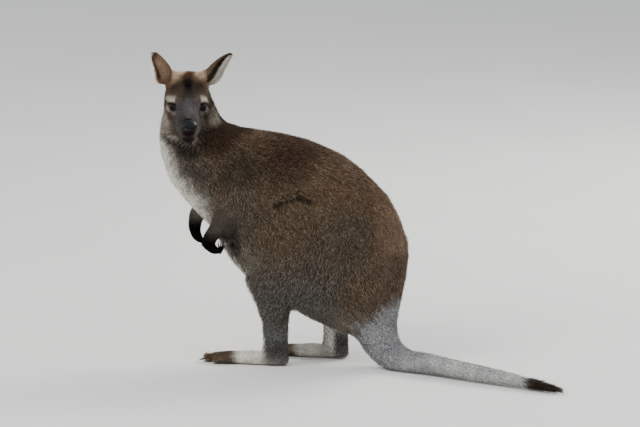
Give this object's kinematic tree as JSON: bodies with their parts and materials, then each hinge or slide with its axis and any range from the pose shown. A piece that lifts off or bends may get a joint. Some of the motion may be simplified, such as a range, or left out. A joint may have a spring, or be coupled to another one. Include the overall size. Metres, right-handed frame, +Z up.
{
  "type": "wallaby",
  "caption": "Life-size still model of a red-necked wallaby standing on its hind feet and tail, arms held in front, head turned to its left.",
  "frame": {"origin": "on the floor below the centre of the bounding box", "axes": "+Z up; +X from the face side of the trunk towards the tail, so the trunk faces -X; the animal's left is -Y, where its head is turned"},
  "size_m": [1.0168, 0.372, 0.7322],
  "materials": {
    "grizzled_fur": "dense grizzled brown coat with pale tips, matt",
    "grey_fur": "grey coat, matt",
    "pale_fur": "short pale coat, matt",
    "dark_fur": "short dark coat, matt",
    "bare_skin": "moist fine-grained skin, half gloss",
    "eye": "wet polished cornea",
    "claw": "smooth horn, half gloss"
  },
  "bodies": {
    "root": {"head": "grizzled_fur", "nose": "bare_skin", "left_ear": "dark_fur", "left_eye": "eye", "right_ear": "dark_fur", "right_eye": "eye", "neck": "grizzled_fur", "trunk": "grizzled_fur", "left_upper_arm": "grizzled_fur", "left_forearm": "grey_fur", "left_hand": "dark_fur", "left_finger_claw_1": "claw", "left_finger_claw_2": "claw", "left_finger_claw_3": "claw", "left_finger_claw_4": "claw", "left_finger_claw_5": "claw", "right_upper_arm": "grizzled_fur", "right_forearm": "grey_fur", "right_hand": "dark_fur", "right_finger_claw_1": "claw", "right_finger_claw_2": "claw", "right_finger_claw_3": "claw", "right_finger_claw_4": "claw", "right_finger_claw_5": "claw", "left_thigh": "grizzled_fur", "left_shank": "grey_fur", "left_foot": "pale_fur", "left_long_toe_claw": "claw", "left_outer_toe_claw": "claw", "left_inner_toe_claw": "claw", "right_thigh": "grizzled_fur", "right_shank": "grey_fur", "right_foot": "pale_fur", "right_long_toe_claw": "claw", "right_outer_toe_claw": "claw", "right_inner_toe_claw": "claw", "tail_root": "grey_fur", "tail_middle": "grey_fur", "tail_tip": "grey_fur"}
  },
  "joints": []
}
